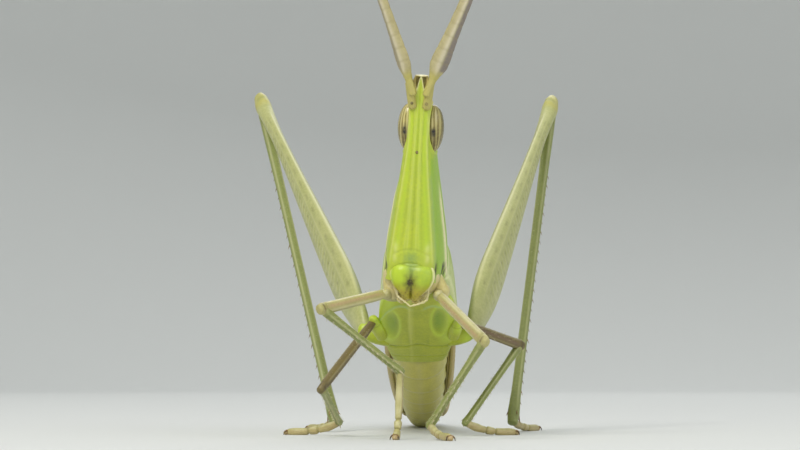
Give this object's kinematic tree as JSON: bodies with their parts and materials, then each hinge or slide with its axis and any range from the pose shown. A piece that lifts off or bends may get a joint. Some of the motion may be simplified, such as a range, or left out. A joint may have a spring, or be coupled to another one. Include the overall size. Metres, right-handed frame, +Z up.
{
  "type": "grasshopper",
  "caption": "Slant-faced green grasshopper with a long cone-shaped head, blade-like feelers, folded forewings and long jumping legs, standing with its front raised.",
  "frame": {"origin": "on the floor, under the middle of the animal's bounding box", "axes": "+Z up from the floor, -Y the way the head faces, +Y along the body towards the tail, +X the animal's left"},
  "size_m": [0.0298, 0.0604, 0.0475],
  "materials": {
    "leaf_green": "smooth waxy cuticle with a soft sheen",
    "breast_green": "smooth cuticle, soft sheen",
    "belly_green": "smooth ringed cuticle, soft sheen",
    "wing_green": "leathery, finely veined, satin",
    "straw": "smooth pale cuticle, satin",
    "feeler_tan": "finely ringed, satin",
    "eye_amber": "smooth, glossy, striped",
    "thigh_green": "smooth, lightly ridged, satin",
    "shin_green": "smooth, spined, satin"
  },
  "bodies": {
    "root": {"head": "leaf_green", "eye_right": "eye_amber", "eye_left": "eye_amber", "feeler_right": "feeler_tan", "feeler_left": "feeler_tan", "upper_lip": "leaf_green", "jaws": "straw", "palp_right": "straw", "palp_left": "straw", "pronotum": "leaf_green", "thorax": "breast_green", "abdomen": "belly_green", "egg_valves": "straw", "forewing_right": "wing_green", "forewing_left": "wing_green", "coxa_fore_right": "breast_green", "thigh_fore_right": "straw", "shin_fore_right": "straw", "foot_fore_right": "straw", "coxa_fore_left": "breast_green", "thigh_fore_left": "straw", "shin_fore_left": "straw", "foot_fore_left": "straw", "coxa_middle_right": "breast_green", "thigh_middle_right": "straw", "shin_middle_right": "shin_green", "foot_middle_right": "straw", "coxa_middle_left": "breast_green", "thigh_middle_left": "straw", "shin_middle_left": "shin_green", "foot_middle_left": "straw", "coxa_hind_right": "breast_green", "thigh_hind_right": "thigh_green", "shin_hind_right": "shin_green", "foot_hind_right": "straw", "coxa_hind_left": "breast_green", "thigh_hind_left": "thigh_green", "shin_hind_left": "shin_green", "foot_hind_left": "straw"}
  },
  "joints": []
}
